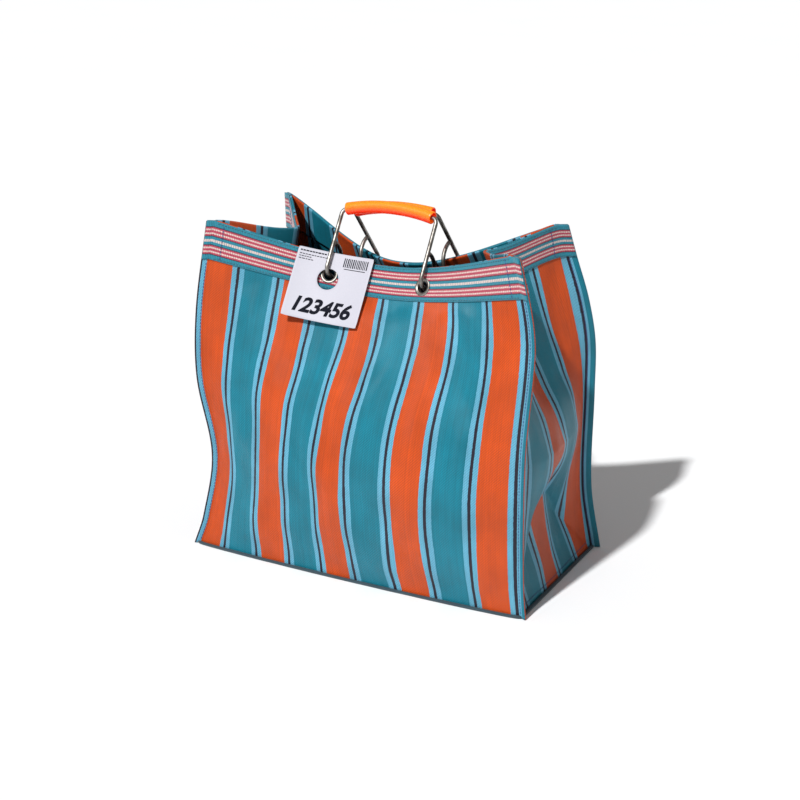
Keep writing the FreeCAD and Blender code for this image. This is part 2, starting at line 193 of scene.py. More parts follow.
def closed_ring(name, rings, material):
    """A ring-shaped body: its last ring of points joins its first."""
    around, count = len(rings), len(rings[0])
    faces = []
    for k in range(around):
        for i in range(count):
            a, b, nearby = k * count, (k + 1) % around * count, (i + 1) % count
            faces.append((a + i, a + nearby, b + nearby, b + i))
    return new_object(name, [p for ring in rings for p in ring], faces, material)


def smooth_step(low, high, value):
    t = min(max((value - low) / (high - low), 0), 1)
    return t * t * (3 - 2 * t)


def spread(low, high, count):
    return [low + (high - low) * k / count for k in range(count + 1)]


def turns(count):
    return spread(0, 2 * pi, count)[:-1]


def circle(centre, u, v, radius, count):
    return [centre + (u * cos(a) + v * sin(a)) * radius for a in turns(count)]


# ---- the standing bag's surfaces ----
def blend(points, t):
    """Smooth curve through points, each (parameter, value, value, ...), at parameter t."""
    last = len(points) - 1
    k = 0
    while k < last - 1 and t > points[k + 1][0]:
        k += 1
    lower, upper = points[k], points[k + 1]
    step = upper[0] - lower[0]
    s = (t - lower[0]) / step

    def slope(i, column):
        before, after = points[max(i - 1, 0)], points[min(i + 1, last)]
        return (after[column] - before[column]) / (after[0] - before[0])

    values = []
    for column in range(1, len(lower)):
        rise_in = slope(k, column) * step
        rise_out = slope(k + 1, column) * step
        values.append((2 * s**3 - 3 * s**2 + 1) * lower[column] + (s**3 - 2 * s**2 + s) * rise_in
                      + (3 * s**2 - 2 * s**3) * upper[column] + (s**3 - s**2) * rise_out)
    return values


@cache
def corner(name, v):
    return Vector(blend(CORNERS[name], v)).freeze()


@cache
def middle(side, v):
    return blend(MIDDLES[side], v)


def wide_point(side, u, v):
    """A point of the front or back panel: u runs from left to right, v from floor to hem."""
    left, right = side + "_left", side + "_right"
    low, high = corner(left, v), corner(right, v)
    straight_low = corner(left, 0) * (1 - v) + corner(left, 1) * v
    straight_high = corner(right, 0) * (1 - v) + corner(right, 1) * v
    point = low + (high - low) * u
    point.x = (straight_low.x * (1 - u) + straight_high.x * u
               + (low.x - straight_low.x) * (1 - u) ** CORNER_REACH
               + (high.x - straight_high.x) * u**CORNER_REACH)
    y, z = middle(side, v)
    power = BELLY_POWERS[0] + BELLY_POWERS[1] * v
    across = max(sin(pi * u), 0.0) ** power
    point.y += (y - (low.y + high.y) / 2) * across
    point.z += (z - (low.z + high.z) / 2) * across
    return point


def front_point(u, v):
    point = wide_point("front", u, v)
    point.x += FRONT_DRAG * sin(pi * u) * exp(-((v - DRAG_HEIGHT) / DRAG_REACH) ** 2)
    return point


def back_point(u, v):
    point = wide_point("back", u, v)
    twist = sin(2 * pi * u) * v**2
    point.y += REAR_SKEW * twist
    point.z -= REAR_TWIST * twist
    return point


def gusset_depth(t, v):
    """How far a gusset stands in from the line between its corners: a peaked crease low down, a slight
    swelling over it, and an upright fold that deepens towards the hem."""
    off = abs(2 * t - 1)
    ridge = max(1 + PEAK_ROUND * (1 - off) - hypot(off, PEAK_ROUND), 0.0)
    crease_height = APEX * ridge
    crease = CREASE_DEPTH * min(1.0, CREASE_RISE * ridge)
    if v < crease_height:
        return crease * v / crease_height
    bulge_height, bulge = BULGE
    bulge *= sin(pi * t)
    if v < bulge_height:
        left = (bulge_height - v) / (bulge_height - crease_height)
        return bulge + (crease - bulge) * left**2
    fold = blend(FOLD_DEPTHS, v)[0]
    roundness = FOLD_FULLNESS * sin(pi * (v - bulge_height) / (1 - bulge_height))
    return fold * ridge ** (1 - roundness) + bulge * max(1 - fold / FOLD_DEPTHS[-1][1], 0.0)


def gusset_point(side, front, back, t, v):
    """A point of a gusset: t runs from the front corner to the back one; side is -1 left, +1 right."""
    near, far = corner(front, v), corner(back, v)
    point = near + (far - near) * t
    point.x -= side * gusset_depth(t, v)
    point.z -= GUSSET_SAG * sin(pi * t) ** 1.5 * v**3
    return point


def right_point(t, v):
    return gusset_point(1, "front_right", "back_right", t, v)


def left_point(t, v):
    return gusset_point(-1, "front_left", "back_left", t, v)


def seam_axes(name):
    """The way a corner's seam allowance points, and the way across it."""
    turn = radians(SEAM_DIRECTIONS[name])
    out = Vector((cos(turn), sin(turn), 0))
    return out, Vector((-out.y, out.x, 0))


# The cloth's ripples: (height, width, climb over which it leans by its width, length, seed).
RIPPLES = [(4.6, 62, inf, 85, 0.0), (2.8, 24, 130, 58, 7.3), (1.0, 15, -60, 34, 3.1)]
RIPPLE_MARGINS = (26, 30)  # they fade out this near a corner line and the floor
HEM_STIFFNESS = 0.88  # share of them that the hem holds flat
STIFF_FROM = (0.84, 0.9)  # fractions of the panel height where its hold begins and is whole


class Panel:
    """One side of the bag, measured in millimetres along its cloth from its first corner line."""

    def __init__(self, side, surface, sign, width, ends, columns, crease, seed):
        self.side, self.surface, self.sign, self.width, self.ends = side, surface, sign, width, ends
        self.columns, self.crease, self.seed = columns, crease, seed

    def ripple(self, x, v):
        """How far the cloth stands out of its smooth shape, in millimetres."""
        z = v * PANEL_HEIGHT
        beside, above = RIPPLE_MARGINS
        edge = smooth_step(0, beside, min(x, self.width - x)) * smooth_step(0, above, z)
        stiff = 1 - HEM_STIFFNESS * smooth_step(*STIFF_FROM, v)
        waves = 0.0
        for height, wide, climb, tall, seed in RIPPLES:
            waves += height * noise(Vector((x / wide + z / climb, z / tall, self.seed + seed)))
        return edge * stiff * self.crease * waves

    def normal(self, x, v):
        """Unit normal that points out of the bag."""
        step = 0.004
        u = min(max(x / self.width, 0), 1)
        along = self.surface(min(u + step, 1), v) - self.surface(max(u - step, 0), v)
        upward = self.surface(u, min(v + step, 1)) - self.surface(u, max(v - step, 0))
        return (along.cross(upward) * self.sign).normalized()

    def point(self, x, v, offset=0.0):
        """A point of the cloth, or of its seam allowance where x runs past a corner line."""
        if 0 <= x <= self.width:
            out = offset + self.ripple(x, v)
            return self.surface(x / self.width, v) + self.normal(x, v) * out
        name, past = (self.ends[0], -x) if x < 0 else (self.ends[1], x - self.width)
        out, face = seam_axes(name)
        if face.dot(self.normal(x, v)) < 0:
            face = -face
        return corner(name, v) + out * past + face * (offset + SEAM_SPREAD)

    def flat_width(self):
        return self.width + sum(SEAM_REACH[name] for name in self.ends)

    def places(self, short):
        """Columns of the sheet's grid, with a few across each seam allowance."""
        inner = spread(0, self.width, self.columns)
        first, last = [[(SEAM_REACH[name] - short) * k / 4 for k in (1, 2, 3, 4)] for name in self.ends]
        return [-p for p in reversed(first)] + inner + [self.width + p for p in last]

    def rows(self, heights, offset=0.0, short=0.0):
        """Points and flat places of a sheet whose edges stop short of the seam allowance's."""
        places = self.places(short)
        points = [[self.point(x, v, offset) for x in places] for v in heights]
        flat = [[(x, v * PANEL_HEIGHT) for x in places] for v in heights]
        return points, flat


PANELS = {
    "front": Panel("front", front_point, 1, 2 * HALF_WIDTH, ("front_left", "front_right"), 150, 1.0, 1.7),
    "back": Panel("back", back_point, -1, 2 * HALF_WIDTH, ("back_left", "back_right"), 150, 1.0, 5.2),
    "left": Panel("left", left_point, -1, 2 * HALF_DEPTH, ("front_left", "back_left"), 90, 0.7, 9.4),
    "right": Panel("right", right_point, 1, 2 * HALF_DEPTH, ("front_right", "back_right"), 90, 0.7, 12.8),
}


# ---- handle frames ----
class HandleFrame:
    """Axes of one handle: x along the line through its two eyelets, out away from the hem, up the legs."""

    def __init__(self, side):
        self.panel = PANELS[side]
        self.height = 1 - EYELET_DROP / PANEL_HEIGHT
        self.places = [self.place(HANDLE_SHIFT + half) for half in (-LEG_SPACING / 2, LEG_SPACING / 2)]
        left, right = [self.panel.surface(u, self.height) for u in self.places]
        self.centre = (left + right) / 2
        self.x = (right - left).normalized()
        level_out = (Vector((self.x.y, -self.x.x, 0)) * self.panel.sign).normalized()
        tilt = radians(LEANS[side])
        self.up = Vector((0, 0, cos(tilt))) - level_out * sin(tilt)
        self.up = (self.up - self.x * self.up.dot(self.x)).normalized()
        self.out = (self.x.cross(self.up) * self.panel.sign).normalized()

    def place(self, x):
        """Panel place whose point at eyelet height lies at x."""
        low, high = 0.0, 1.0
        for _ in range(40):
            centre = (low + high) / 2
            if self.panel.surface(centre, self.height).x < x:
                low = centre
            else:
                high = centre
        return (low + high) / 2

    def point(self, x, out, up):
        return self.centre + self.x * x + self.out * out + self.up * up

    def holes(self):
        width, y = self.panel.width, self.height * PANEL_HEIGHT
        return [(u * width, y, EYELET_HOLE) for u in self.places]


HANDLES = {"front": HandleFrame("front"), "rear": HandleFrame("back")}
HOLES = {handle.panel.side: handle.holes() for handle in HANDLES.values()}


# ---- materials ----
def linear(red, green, blue):
    """An sRGB colour, 0 to 255, as a linear one."""
    values = []
    for value in (red, green, blue):
        share = value / 255
        values.append(share / 12.92 if share <= 0.04045 else ((share + 0.055) / 1.055) ** 2.4)
    return (*values, 1.0)


ORANGE = linear(204, 74, 0)
TEAL = linear(0, 122, 144)
SKY = linear(98, 172, 202)
DARK = linear(30, 22, 40)
PINK = linear(172, 54, 78)
CREAM = linear(212, 190, 184)


class Paint:
    """Builds one node material; every method returns an output socket."""

    def __init__(self, name):
        self.material = bpy.data.materials.new(name)
        self.material.use_nodes = True
        self.tree = self.material.node_tree
        self.shader = self.tree.nodes["Principled BSDF"]

    def node(self, kind, inputs=(), **settings):
        made = self.tree.nodes.new("ShaderNode" + kind)
        for key, value in settings.items():
            setattr(made, key, value)
        for key, value in dict(inputs).items():
            self.put(value, made.inputs[key])
        return made

    def put(self, value, socket):
        if isinstance(value, bpy.types.NodeSocket):
            self.tree.links.new(value, socket)
        else:
            socket.default_value = value

    def set(self, **values):
        for key, value in values.items():
            self.put(value, self.shader.inputs[key.replace("_", " ")])

    def maths(self, operation, a, b=0.0, c=0.0):
        return self.node("Math", {0: a, 1: b, 2: c}, operation=operation).outputs[0]

    plus = partialmethod(maths, "ADD")
    minus = partialmethod(maths, "SUBTRACT")
    times = partialmethod(maths, "MULTIPLY")
    over = partialmethod(maths, "DIVIDE")
    times_plus = partialmethod(maths, "MULTIPLY_ADD")
    above = partialmethod(maths, "GREATER_THAN")
    whole = partialmethod(maths, "FLOOR")
    fraction = partialmethod(maths, "FRACT")
    sine = partialmethod(maths, "SINE")
    size = partialmethod(maths, "ABSOLUTE")

    def between(self, value, low, high):
        """A value of 0 to 1 spread from low to high."""
        return self.times_plus(value, high - low, low)

    def mix(self, factor, a, b, blend_type="MIX"):
        made = self.node("Mix", data_type="RGBA", blend_type=blend_type)
        self.put(factor, made.inputs["Factor"])
        self.put(a, made.inputs["A"])
        self.put(b, made.inputs["B"])
        return made.outputs["Result"]

    def ramp(self, value, stops, interpolation="CONSTANT"):
        """Colours from (position, colour) stops."""
        made = self.node("ValToRGB", {"Fac": value})
        band = made.color_ramp
        band.interpolation = interpolation
        while len(band.elements) < len(stops):
            band.elements.new(0.5)
        for element, (position, colour) in zip(band.elements, stops):
            element.position = position
            element.color = colour
        return made.outputs["Color"]

    def flat(self):
        """x and y on the flat cloth, in millimetres."""
        uv = self.node("UVMap", uv_map="flat").outputs["UV"]
        split = self.node("SeparateXYZ", {"Vector": uv})
        return [self.times(split.outputs[k], 1 / MM) for k in ("X", "Y")]

    def vector(self, x, y, z=0.0):
        return self.node("CombineXYZ", {"X": x, "Y": y, "Z": z}).outputs[0]

    def place(self):
        """The object's own coordinates, in metres."""
        return self.node("TexCoord").outputs["Object"]

    def noise(self, scale, detail=2.0, vector=None):
        """Noise over the object, or over the coordinates that are given."""
        inputs = {"Vector": vector or self.place(), "Scale": scale, "Detail": detail}
        return self.node("TexNoise", inputs).outputs["Fac"]

    def stretched(self, x, y, across, along):
        """Noise on the flat cloth with this many patches to a millimetre each way."""
        return self.noise(1.0, vector=self.vector(self.times(x, across), self.times(y, along)))

    def random(self, vector):
        return self.node("TexWhiteNoise", {"Vector": vector}).outputs["Value"]

    def toned(self, colour, tone):
        """A colour with all three of its channels multiplied by a tone."""
        shade = self.node("CombineColor", {0: tone, 1: tone, 2: tone}).outputs[0]
        return self.mix(1.0, colour, shade, "MULTIPLY")

    def bump(self, height, distance, strength=1.0):
        """Relief whose height of 1 stands for distance millimetres."""
        inputs = {"Height": height, "Distance": distance * MM, "Strength": strength}
        self.put(self.node("Bump", inputs).outputs[0], self.shader.inputs["Normal"])


WARP = 0.62  # pitch of the upright threads
WEFT = 0.66
TWILL = 4.0  # weft threads in one repeat of the twill
WARP_OVER = 0.7  # share of a repeat in which the warp lies on top
WEFT_CROWN = 0.45  # height of the weft's crown beside the warp's


def weave(paint, x, y):
    """A warp-faced twill: (height of the threads, how much the weft shows, number of the warp thread)."""
    across, along = paint.over(x, WARP), paint.over(y, WEFT)
    warp, weft = paint.whole(across), paint.whole(along)
    step = paint.fraction(paint.over(paint.minus(weft, warp), TWILL))
    under = paint.above(step, WARP_OVER)
    crowns = [paint.sine(paint.times(paint.fraction(place), pi)) for place in (across, along)]
    low = paint.times(crowns[1], WEFT_CROWN)
    gap = paint.times(paint.minus(low, crowns[0]), under)
    return paint.plus(crowns[0], gap), under, warp


STRIPE_REPEAT = 82.0
LINE_HALF = 1.3  # half of the dark line
SKY_REACH = 6.1  # the pale stripe beside it ends this far from its middle


def stripe_colour(paint, x, first, colours):
    """Wide stripes of two colours, with a pale, dark, pale line at each change."""
    phase = paint.fraction(paint.over(paint.minus(x, first), STRIPE_REPEAT))
    half = STRIPE_REPEAT / 2
    stops = []
    for start, colour in zip((0, half), colours):
        stops += [(start, DARK), (start + LINE_HALF, SKY), (start + SKY_REACH, colour),
                  (start + half - SKY_REACH, SKY), (start + half - LINE_HALF, DARK)]
    return paint.ramp(phase, [(position / STRIPE_REPEAT, colour) for position, colour in stops])


FRAY = 0.9  # how far a stripe's edge wanders, in millimetres
WEFT_TINT = linear(24, 40, 52)
RUBBED_WHITE = linear(205, 205, 200)


def striped_cloth(name, first, colours, selvedge=None):
    """Woven plastic cloth; first is the middle of one dark line, colours the stripes from there on, and
    selvedge the place past which the cloth is plain teal."""
    paint = Paint(name)
    x, y = paint.flat()
    wander = paint.minus(paint.noise(0.35, 3.0, paint.vector(x, y)), 0.5)
    colour = stripe_colour(paint, paint.times_plus(wander, FRAY, x), first, colours)
    if selvedge:
        colour = paint.mix(paint.above(x, selvedge), colour, TEAL)
    height, under, warp = weave(paint, x, y)
    thread = paint.between(paint.random(paint.vector(warp, 0.0)), 0.90, 1.06)
    slub = paint.between(paint.stretched(x, y, 0.9, 0.035), 0.88, 1.12)
    # The tone varies at random from thread to thread and along the threads, and is darker where the threads
    # dip: painted shade between them.
    tone = paint.times(paint.times(thread, slub), paint.between(height, 0.68, 1.08))
    # Painted sheen: broad patches some thirty millimetres across, made lighter and darker.
    tone = paint.times(tone, paint.between(paint.stretched(x, y, 0.034, 0.026), 0.72, 1.34))
    colour = paint.toned(colour, tone)
    patchy = paint.noise(0.12, 3.0, paint.vector(x, y))
    shown = paint.times(under, paint.between(patchy, 0.1, 1.0))
    colour = paint.mix(shown, colour, paint.mix(0.5, colour, WEFT_TINT))
    wear = paint.noise(9.0, 4.0)
    colour = paint.mix(paint.times(wear, 0.02), colour, RUBBED_WHITE)
    rough = paint.between(paint.noise(22.0, 3.0), 0.24, 0.48)
    paint.set(Base_Color=colour, Roughness=rough, Specular_IOR_Level=0.27, Sheen_Weight=0.01)
    paint.bump(height, 0.24, 0.7)
    return paint.material


DASH_PITCH = 2.3  # of the tape's broken cream rows
DASH_SHARE = 0.76  # of that pitch is cream
DASH_ROWS = 8.5  # past this distance from the middle the dashes are half a pitch on
RIB_PITCH = 1.75
RIB_WAVE = 0.12  # how far the ribs push the bands up and down
CROSS_PITCH = 0.9  # of the tape's cross threads
# Colours of half the tape's height, from its middle outwards: (distance from the middle, colour).
TAPE_BANDS = [(0, CREAM), (1.15, TEAL), (3.7, DARK), (4.5, PINK), (5.9, CREAM), (7.4, PINK), (9.6, CREAM),
              (11.1, PINK), (12.5, DARK), (13.3, TEAL)]


def tape_material(name):
    """The hem's ribbed ribbon: teal edges, two pink bands with broken cream rows, and a cream middle row."""
    paint = Paint(name)
    x, y = paint.flat()
    half = TAPE_HEIGHT / 2
    from_low = paint.minus(y, PANEL_HEIGHT - TAPE_HEIGHT)
    mirrored = paint.size(paint.minus(from_low, half))
    wave = paint.times(paint.sine(paint.times(x, 2 * pi / RIB_PITCH)), RIB_WAVE)
    place = paint.over(paint.plus(mirrored, wave), half)
    gaps = [(edge, PINK if shade == CREAM else shade) for edge, shade in TAPE_BANDS]
    gaps[0] = (0, TEAL)
    colour, between = [paint.ramp(place, [(edge / half, shade) for edge, shade in bands])
                       for bands in (TAPE_BANDS, gaps)]
    dash = paint.fraction(paint.over(x, DASH_PITCH))
    dash = paint.fraction(paint.times_plus(paint.above(mirrored, DASH_ROWS), 0.5, dash))
    colour = paint.mix(paint.times(paint.above(dash, DASH_SHARE), 0.7), colour, between)
    rib = paint.size(paint.sine(paint.times(x, pi / RIB_PITCH)))
    cross = paint.size(paint.sine(paint.times(y, pi / CROSS_PITCH)))
    height = paint.times_plus(cross, 0.4, rib)
    cell = paint.vector(paint.whole(paint.over(x, RIB_PITCH)), paint.whole(paint.over(y, CROSS_PITCH)))
    # The tone is darker in the grooves between ribs and cross threads, which is painted shade, and varies at
    # random from cell to cell.
    tone = paint.times(paint.between(height, 0.72, 0.98), paint.between(paint.random(cell), 0.9, 1.1))
    paint.set(Base_Color=paint.toned(colour, tone), Roughness=0.62, Sheen_Weight=0.25)
    paint.bump(height, 0.35, 0.8)
    return paint.material


def thread_material(name, colour):
    paint = Paint(name)
    twist = paint.node("TexWave", {"Vector": paint.place(), "Scale": 900.0, "Distortion": 2.0})
    tone = paint.mix(twist.outputs["Fac"], colour, linear(20, 30, 60))
    paint.set(Base_Color=tone, Roughness=0.55, Sheen_Weight=0.3)
    paint.bump(twist.outputs["Fac"], 0.05)
    return paint.material


def welt_material(name):
    """Dark binding of the base seam: close ribs across a matt, slightly dusty tape."""
    paint = Paint(name)
    grain = paint.noise(700.0, 3.0)
    worn = paint.noise(40.0, 4.0)
    ribs = paint.node("TexWave", {"Vector": paint.place(), "Scale": 320.0, "Distortion": 0.6})
    colour = paint.mix(grain, linear(28, 34, 44), linear(46, 58, 68))
    colour = paint.mix(paint.times(worn, 0.3), colour, linear(20, 100, 115))
    paint.set(Base_Color=colour, Roughness=0.7, Sheen_Weight=0.2)
    paint.bump(paint.plus(ribs.outputs["Fac"], grain), 0.2, 0.7)
    return paint.material


def steel_material(name, bright, dull):
    """Drawn steel: fine scratches, small stains from a bright grey to a dull one, and a soft shine."""
    paint = Paint(name)
    stains = paint.noise(120.0, 5.0)
    scratches = paint.noise(1400.0, 2.0)
    stops = [(0.38, linear(bright, bright - 3, bright - 8)), (0.62, linear(dull, dull - 4, dull - 10))]
    paint.set(Base_Color=paint.ramp(stains, stops, "LINEAR"), Metallic=1.0,
              Roughness=paint.between(stains, 0.3, 0.6))
    paint.bump(paint.plus(scratches, stains), 0.06, 0.6)
    return paint.material


def grip_material(name):
    """Translucent neon tube with faint scuffs, yellower above as a painted highlight, redder below as
    painted shade, with a painted glow.
    """
    paint = Paint(name)
    scuff = paint.noise(160.0, 5.0)
    # Painted light: the colour runs from a red painted shade underneath to a yellow painted highlight on
    # top, by which way the surface faces.
    facing = paint.node("NewGeometry").outputs["Normal"]
    up = paint.node("SeparateXYZ", {"Vector": facing}).outputs["Z"]
    painted_light_range = {"Value": up, "From Min": -0.45, "From Max": 0.6}
    top = paint.node("MapRange", painted_light_range).outputs["Result"]
    colour = paint.mix(top, linear(236, 34, 14), linear(255, 132, 6))
    colour = paint.mix(paint.times(scuff, 0.2), colour, linear(255, 170, 60))
    # Painted glow: the tube gives off light of its own, yellower above and redder below.
    painted_glow = paint.mix(top, linear(255, 20, 8), linear(255, 92, 4))
    rough = paint.between(scuff, 0.24, 0.49)
    paint.set(Base_Color=colour, Roughness=rough, Subsurface_Weight=0.3, Subsurface_Scale=0.004,
              Subsurface_Radius=(1.0, 0.32, 0.08), Emission_Color=painted_glow, Emission_Strength=0.32)
    paint.bump(scuff, 0.05, 0.4)
    return paint.material


def card_material(name):
    paint = Paint(name)
    fibres = paint.noise(900.0, 4.0)
    cloud = paint.noise(40.0, 3.0)
    colour = paint.mix(fibres, linear(178, 178, 190), linear(190, 190, 200))
    colour = paint.mix(paint.times(cloud, 0.3), colour, linear(160, 160, 174))
    paint.set(Base_Color=colour, Roughness=0.5, Specular_IOR_Level=0.3)
    paint.bump(fibres, 0.03, 0.5)
    return paint.material


def ink_material(name):
    paint = Paint(name)
    wear = paint.noise(500.0, 4.0)
    paint.set(Base_Color=paint.mix(wear, linear(12, 14, 20), linear(34, 36, 46)), Roughness=0.9,
              Specular_IOR_Level=0.05)
    paint.bump(wear, 0.02, 0.4)
    return paint.material


def floor_material(name):
    paint = Paint(name)
    cloud = paint.noise(3.0, 2.0)
    paint.set(Base_Color=paint.mix(cloud, linear(246, 248, 250), linear(250, 252, 254)), Roughness=0.8,
              Specular_IOR_Level=0.2)
    return paint.material


WIDE_FIRST = 30.0  # first dark line on the wide panels, from the left corner line
RIGHT_FIRST = 19.0  # and on the gussets, from their front corner lines
LEFT_FIRST = 9.5
SELVEDGE = 187.0  # on the right gusset the last pale line is cut short here

WIDE_CLOTH = striped_cloth("striped_cloth_wide", WIDE_FIRST, (TEAL, ORANGE))
LEFT_CLOTH = striped_cloth("striped_cloth_left", LEFT_FIRST, (ORANGE, TEAL))
RIGHT_CLOTH = striped_cloth("striped_cloth_right", RIGHT_FIRST, (TEAL, ORANGE), SELVEDGE)
CLOTHS = {"front": WIDE_CLOTH, "back": WIDE_CLOTH, "left": LEFT_CLOTH, "right": RIGHT_CLOTH}
TAPE_RIBBON = tape_material("hem_ribbon")
BLUE_THREAD = thread_material("blue_thread", linear(24, 58, 150))
TEAL_THREAD = thread_material("teal_thread", linear(20, 120, 140))
WELT = welt_material("base_binding")
STEEL = steel_material("wire_steel", 168, 104)
EYELET_STEEL = steel_material("eyelet_metal", 160, 92)
GRIP = grip_material("grip_plastic")
CARD = card_material("tag_card")
INK = ink_material("tag_ink")


# ---- where the stripes run ----
DRIFTS = [(6.0, 5.0, 55.0), (-3.5, -190.0, 22.0)]  # (shift, place from the panel's middle, reach)


def drift(x):
    """The wide panels' stripes run a little unevenly across the loom width."""
    off = x - HALF_WIDTH
    return sum(shift * exp(-((off - place) / reach) ** 2) for shift, place, reach in DRIFTS)


def drifted(flat):
    return [[(x + drift(x), y) for x, y in row] for row in flat]


# ---- cloth, hem and tape ----
def stands_for(piece, body, slot, *nodes):
    """Puts a piece on its body, in the place of the nodes that it replaces; slot is not used."""
    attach(piece, body)
    if nodes:
        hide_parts(*nodes)
    return piece


def shifted(side, flat):
    return drifted(flat) if side in ("front", "back") else flat


def cut_holes(side):
    return [(x + drift(x), y, radius) for x, y, radius in HOLES.get(side, [])]


def side_cloth(side):
    panel = PANELS[side]
    points, flat = panel.rows(spread(0.002, 1, 140))
    return woven(side + "_cloth", points, shifted(side, flat), CLOTHS[side], cut_holes(side))


def turned_hem(side):
    """The cloth's top edge, folded over to the inside of the bag."""
    panel = PANELS[side]
    places = spread(1.5, panel.width - 1.5, panel.columns)
    rows, flat = [], []
    top = [(panel.point(x, 1), panel.normal(x, 1), x) for x in places]
    rise = [panel.point(x, 1) - panel.point(x, 0.995) for x in places]
    for k in range(7):
        turn = pi * k / 6
        lift, back = HEM_RADIUS * sin(turn), HEM_RADIUS * (cos(turn) - 1)
        rows.append([p + up.normalized() * lift + n * back for (p, n, x), up in zip(top, rise)])
        flat.append([(x, PANEL_HEIGHT + HEM_RADIUS * turn) for x in places])
    arc = HEM_RADIUS * pi
    for down in spread(0, HEM_TURN, 16)[1:]:
        v = 1 - down / PANEL_HEIGHT
        rows.append([panel.point(x, v, -2 * HEM_RADIUS) for x in places])
        flat.append([(x, PANEL_HEIGHT + arc + down) for x in places])
    holes = [(x, 2 * PANEL_HEIGHT + arc - y, radius) for x, y, radius in cut_holes(side)]
    return woven(side + "_turned_hem", rows, shifted(side, flat), CLOTHS[side], holes)


TAPE_PROUD = 0.4  # of the hem
TAPE_SHORT = 0.6  # of the seam allowance's edge


def hem_tape(side):
    panel = PANELS[side]
    heights = spread(TAPE_FOOT, 1 + TAPE_PROUD / PANEL_HEIGHT, 24)
    points, flat = panel.rows(heights, TAPE_MIDDLE, TAPE_SHORT)
    return woven(side + "_hem_tape", points, flat, TAPE_RIBBON, HOLES.get(side, []), TAPE)


BASE_MIDDLE = 0.9  # height of the base cloth's middle
BASE_WAVE = 0.35


def bottom_cloth():
    rows, flat = [], []
    for w in spread(0.01, 0.99, 60):
        row, places = [], []
        for u in spread(0.004, 0.996, 120):
            near, far = front_point(u, 0), back_point(u, 0)
            point = near + (far - near) * w
            point.z = BASE_MIDDLE + BASE_WAVE * noise(Vector((point.x / 40, point.y / 40, 2.2)))
            row.append(point)
            places.append((u * 2 * HALF_WIDTH, w * 2 * HALF_DEPTH))
        rows.append(row)
        flat.append(places)
    return woven("bottom_cloth", rows, flat, WIDE_CLOTH)


# ---- stitches ----
STITCH_PITCH = 3.3
STITCH_LENGTH = 2.5
THREAD_RADIUS = 0.42
# Thickness of a stitch along its length, and how deep it lies there: (share of the length, share, depth).
STITCH_SHAPE = ((0, 0.45, 0.12), (0.22, 1, 0.0), (0.78, 1, 0.0), (1, 0.45, 0.12))
EDGE_STITCH = 1.6  # in from the tape's edges
END_STITCH = 11.0  # in from the corner lines
FOOT_STITCH = 6.5  # over the floor
SEAM_STITCH = 2.2  # out from the corner line


def stitches(line):
    """Rings of one row of stitches along (point, outward normal) pairs."""
    bundles = []
    travelled = [0.0]
    for (a, _), (b, _) in zip(line, line[1:]):
        travelled.append(travelled[-1] + (b - a).length)

    def along(distance):
        k = 0
        while k < len(line) - 2 and travelled[k + 1] < distance:
            k += 1
        t = (distance - travelled[k]) / max(travelled[k + 1] - travelled[k], 1e-6)
        return line[k][0].lerp(line[k + 1][0], t), line[k][1]

    start = STITCH_PITCH / 2
    while start + STITCH_LENGTH < travelled[-1]:
        rings = []
        for share, swell, sunk in STITCH_SHAPE:
            point, normal = along(start + STITCH_LENGTH * share)
            ahead, _ = along(start + STITCH_LENGTH * share + 0.5)
            side = (ahead - point).cross(normal).normalized()
            rings.append(circle(point - normal * sunk, side, normal, THREAD_RADIUS * swell, 6))
        bundles.append(rings)
        start += STITCH_PITCH
    return bundles


def upright(panel, x, low, high, over):
    """A stitch line up a panel at x; over is its height over the cloth's middle."""
    line = []
    for v in spread(low, high, 60):
        normal = panel.normal(x, v)
        line.append((panel.point(x, v, over), normal))
    return line


def level(panel, v, over, inset=3.0):
    return [(panel.point(x, v, over), panel.normal(x, v)) for x in spread(inset, panel.width - inset, 150)]


def tape_stitching(side):
    """Rows along both edges of the tape."""
    panel = PANELS[side]
    over = TAPE_FACE + 0.1
    edge = EDGE_STITCH / PANEL_HEIGHT
    bundles = stitches(level(panel, TAPE_FOOT + edge, over)) + stitches(level(panel, 1 - edge, over))
    return lofted(side + "_tape_stitching", bundles, TEAL_THREAD)


def end_stitching(side):
    """A row up each end of the tape, and one along the foot of a gusset."""
    panel = PANELS[side]
    bundles = []
    for x in (END_STITCH, panel.width - END_STITCH):
        bundles += stitches(upright(panel, x, TAPE_FOOT, 1, TAPE_FACE + 0.15))
    if side in ("left", "right"):
        bundles += stitches(level(panel, FOOT_STITCH / PANEL_HEIGHT, CLOTH / 2 + 0.1, 6.0))
    return lofted(side + "_end_stitching", bundles, BLUE_THREAD)


def seam_stitching(name):
    """The thread that closes a corner seam, seen on both faces of its allowance."""
    out, across = seam_axes(name)
    bundles = []
    for sign in (-1, 1):
        face = across * sign
        line = []
        for v in spread(0.01, 0.89, 160):
            place = corner(name, v) + out * SEAM_STITCH
            line.append((place + face * (SEAM_SPREAD + CLOTH / 2 + 0.1), face))
        bundles += stitches(line)
    return lofted(name + "_seam_stitching", bundles, BLUE_THREAD)


# ---- base seam ----
BINDING_HALF = (1.75, 1.3)  # half of the binding's width and height
BINDING_MIDDLE = (2.0, 1.4)  # its middle, out from the cloth and over the floor
BINDING_WANDER = 0.25
BINDING_PAST = 1.5  # it runs this far past the corners


def squared(wave, reach):
    """A coordinate of a round section with flattened sides."""
    return reach * copysign(abs(wave) ** 0.7, wave)


